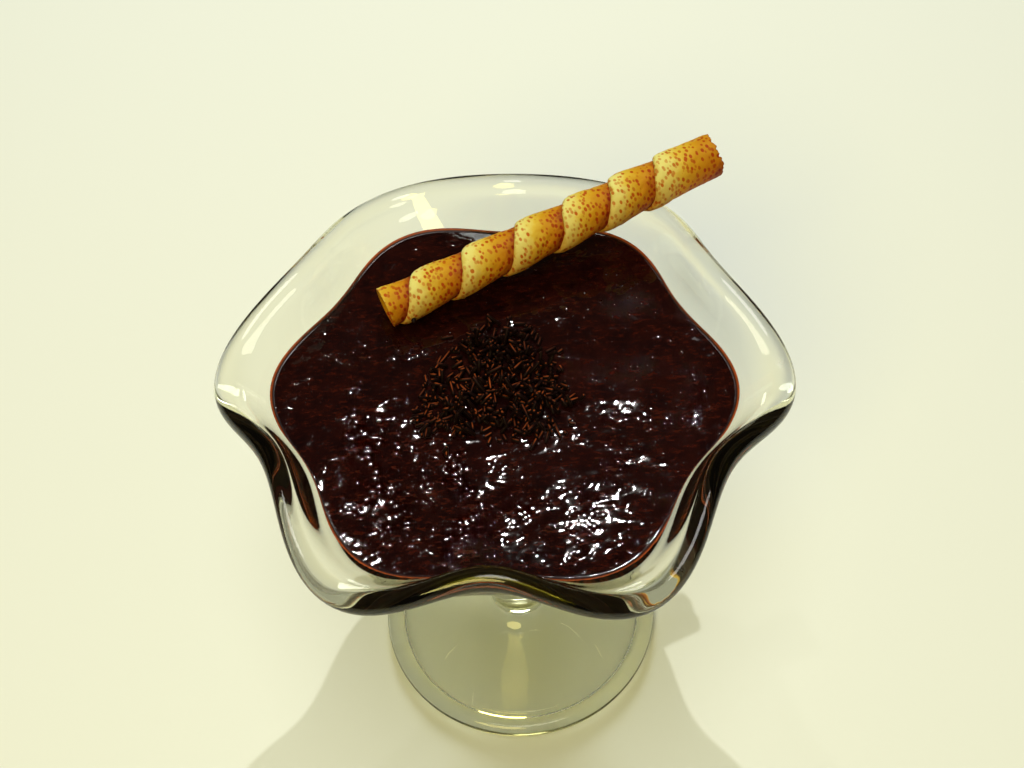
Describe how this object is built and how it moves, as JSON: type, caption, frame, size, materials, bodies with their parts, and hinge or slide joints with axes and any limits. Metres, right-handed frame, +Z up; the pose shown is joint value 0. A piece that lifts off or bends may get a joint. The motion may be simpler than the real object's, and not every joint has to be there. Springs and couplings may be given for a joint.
{
  "type": "chocolate mousse",
  "caption": "Chocolate mousse in a clear footed glass dish with a petalled rim, with a rolled wafer laid from the mousse over the rim and a heap of dark sprinkles.",
  "frame": {"origin": "the middle of the foot, on the surface that the dish stands on", "axes": "+Z up; seen from -Y, +X is to the right, where the wafer runs out over the rim"},
  "size_m": [0.1338, 0.1258, 0.138],
  "materials": {
    "clear_glass": "clear pressed glass with a faint yellow-green tint, polished",
    "chocolate_mousse": "very dark brown, wet and glossy, with fine bubbles",
    "baked_wafer": "baked, dry, pale yellow to golden brown with dark pores",
    "chocolate_sprinkles": "near-black brown, faintly waxy"
  },
  "bodies": {
    "root": {"glass_dish": "clear_glass", "mousse": "chocolate_mousse", "wafer_roll": "baked_wafer"}
  },
  "joints": []
}
